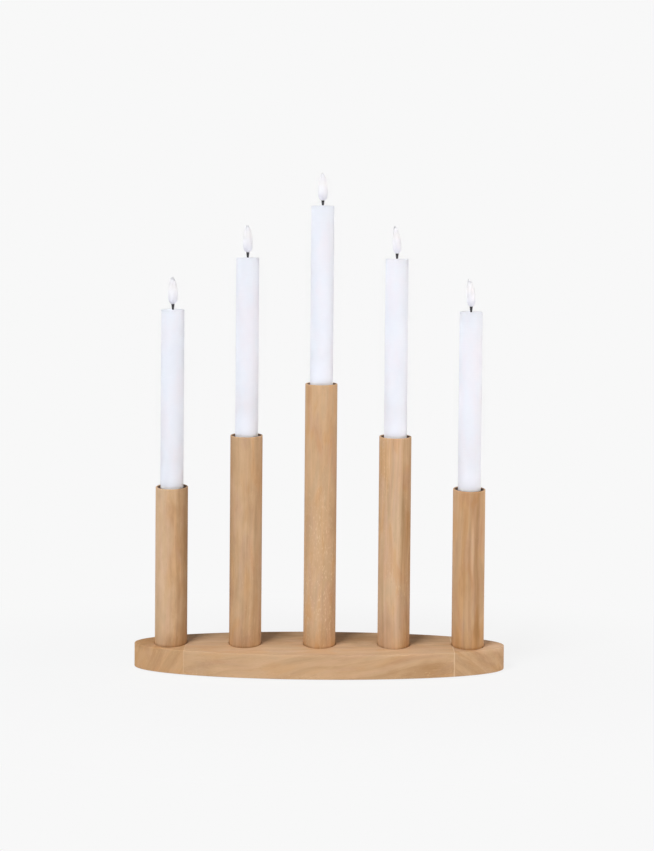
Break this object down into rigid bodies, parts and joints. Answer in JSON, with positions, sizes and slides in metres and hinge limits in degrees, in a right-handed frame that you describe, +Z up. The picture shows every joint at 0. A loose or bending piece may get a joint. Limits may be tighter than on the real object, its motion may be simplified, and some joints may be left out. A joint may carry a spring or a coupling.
{
  "type": "advent candle holder",
  "caption": "Wooden table candle holder: an oval base with a stepped row of round columns, each holding an LED taper candle in a metal cup at its top.",
  "frame": {"origin": "on the table under the middle of the base", "axes": "+X along the row of columns to the viewer's right, +Y to the back, +Z up"},
  "size_m": [0.3548, 0.069, 0.475],
  "materials": {
    "base_wood": "sanded hardwood, thin satin oil",
    "end_block_wood": "sanded hardwood, thin satin oil",
    "column_wood": "turned hardwood, thin satin oil",
    "dowel_wood": "plain birch",
    "cup_metal": "black powder coat",
    "screw_steel": "zinc plated",
    "felt": "pressed felt",
    "candle_wax": "smooth cool white wax",
    "flame_plastic": "translucent frosted",
    "wick_plastic": "matt black",
    "tube_plastic": "moulded white",
    "cap_plastic": "moulded white",
    "switch_plastic": "moulded black",
    "battery_wrap": "printed film without lettering",
    "led_board": "solder mask",
    "spring_steel": "nickel plated"
  },
  "bodies": {
    "holder": {"base_centre_board": "base_wood", "base_left_block": "end_block_wood", "base_right_block": "end_block_wood", "candle_cups": "cup_metal", "base_dowels": "dowel_wood", "column_screws": "screw_steel", "felt_pads": "felt", "column_outer_left": "column_wood", "column_inner_left": "column_wood", "column_centre": "column_wood", "column_inner_right": "column_wood", "column_outer_right": "column_wood"},
    "candle_outer_left": {"wax_shell_outer_left": "candle_wax", "battery_tube_outer_left": "tube_plastic", "batteries_outer_left": "battery_wrap", "led_module_outer_left": "led_board", "wick_outer_left": "wick_plastic", "flame_outer_left": "flame_plastic"},
    "cap_outer_left": {"battery_cap_outer_left": "cap_plastic", "spring_contact_outer_left": "spring_steel"},
    "switch_outer_left": {"slide_switch_outer_left": "switch_plastic"},
    "candle_inner_left": {"wax_shell_inner_left": "candle_wax", "battery_tube_inner_left": "tube_plastic", "batteries_inner_left": "battery_wrap", "led_module_inner_left": "led_board", "wick_inner_left": "wick_plastic", "flame_inner_left": "flame_plastic"},
    "cap_inner_left": {"battery_cap_inner_left": "cap_plastic", "spring_contact_inner_left": "spring_steel"},
    "switch_inner_left": {"slide_switch_inner_left": "switch_plastic"},
    "candle_centre": {"wax_shell_centre": "candle_wax", "battery_tube_centre": "tube_plastic", "batteries_centre": "battery_wrap", "led_module_centre": "led_board", "wick_centre": "wick_plastic", "flame_centre": "flame_plastic"},
    "cap_centre": {"battery_cap_centre": "cap_plastic", "spring_contact_centre": "spring_steel"},
    "switch_centre": {"slide_switch_centre": "switch_plastic"},
    "candle_inner_right": {"wax_shell_inner_right": "candle_wax", "battery_tube_inner_right": "tube_plastic", "batteries_inner_right": "battery_wrap", "led_module_inner_right": "led_board", "wick_inner_right": "wick_plastic", "flame_inner_right": "flame_plastic"},
    "cap_inner_right": {"battery_cap_inner_right": "cap_plastic", "spring_contact_inner_right": "spring_steel"},
    "switch_inner_right": {"slide_switch_inner_right": "switch_plastic"},
    "candle_outer_right": {"wax_shell_outer_right": "candle_wax", "battery_tube_outer_right": "tube_plastic", "batteries_outer_right": "battery_wrap", "led_module_outer_right": "led_board", "wick_outer_right": "wick_plastic", "flame_outer_right": "flame_plastic"},
    "cap_outer_right": {"battery_cap_outer_right": "cap_plastic", "spring_contact_outer_right": "spring_steel"},
    "switch_outer_right": {"slide_switch_outer_right": "switch_plastic"}
  },
  "joints": [
    {"name": "candle_lift_outer_left", "type": "slide", "parent": "holder", "child": "candle_outer_left", "axis": [0, 0, 1], "range_m": [0, 0.04]},
    {"name": "cap_twist_outer_left", "type": "hinge", "parent": "candle_outer_left", "child": "cap_outer_left", "pos_m": [-0.1425, 0, 0.15], "axis": [0, 0, 1], "range_deg": [0, 45]},
    {"name": "switch_slide_outer_left", "type": "slide", "parent": "cap_outer_left", "child": "switch_outer_left", "axis": [1, 0, 0], "range_m": [-0.0015, 0.0015]},
    {"name": "candle_lift_inner_left", "type": "slide", "parent": "holder", "child": "candle_inner_left", "axis": [0, 0, 1], "range_m": [0, 0.04]},
    {"name": "cap_twist_inner_left", "type": "hinge", "parent": "candle_inner_left", "child": "cap_inner_left", "pos_m": [-0.07125, 0, 0.15], "axis": [0, 0, 1], "range_deg": [0, 45]},
    {"name": "switch_slide_inner_left", "type": "slide", "parent": "cap_inner_left", "child": "switch_inner_left", "axis": [1, 0, 0], "range_m": [-0.0015, 0.0015]},
    {"name": "candle_lift_centre", "type": "slide", "parent": "holder", "child": "candle_centre", "axis": [0, 0, 1], "range_m": [0, 0.04]},
    {"name": "cap_twist_centre", "type": "hinge", "parent": "candle_centre", "child": "cap_centre", "pos_m": [0, 0, 0.15], "axis": [0, 0, 1], "range_deg": [0, 45]},
    {"name": "switch_slide_centre", "type": "slide", "parent": "cap_centre", "child": "switch_centre", "axis": [1, 0, 0], "range_m": [-0.0015, 0.0015]},
    {"name": "candle_lift_inner_right", "type": "slide", "parent": "holder", "child": "candle_inner_right", "axis": [0, 0, 1], "range_m": [0, 0.04]},
    {"name": "cap_twist_inner_right", "type": "hinge", "parent": "candle_inner_right", "child": "cap_inner_right", "pos_m": [0.07125, 0, 0.15], "axis": [0, 0, 1], "range_deg": [0, 45]},
    {"name": "switch_slide_inner_right", "type": "slide", "parent": "cap_inner_right", "child": "switch_inner_right", "axis": [1, 0, 0], "range_m": [-0.0015, 0.0015]},
    {"name": "candle_lift_outer_right", "type": "slide", "parent": "holder", "child": "candle_outer_right", "axis": [0, 0, 1], "range_m": [0, 0.04]},
    {"name": "cap_twist_outer_right", "type": "hinge", "parent": "candle_outer_right", "child": "cap_outer_right", "pos_m": [0.1425, 0, 0.15], "axis": [0, 0, 1], "range_deg": [0, 45]},
    {"name": "switch_slide_outer_right", "type": "slide", "parent": "cap_outer_right", "child": "switch_outer_right", "axis": [1, 0, 0], "range_m": [-0.0015, 0.0015]}
  ]
}
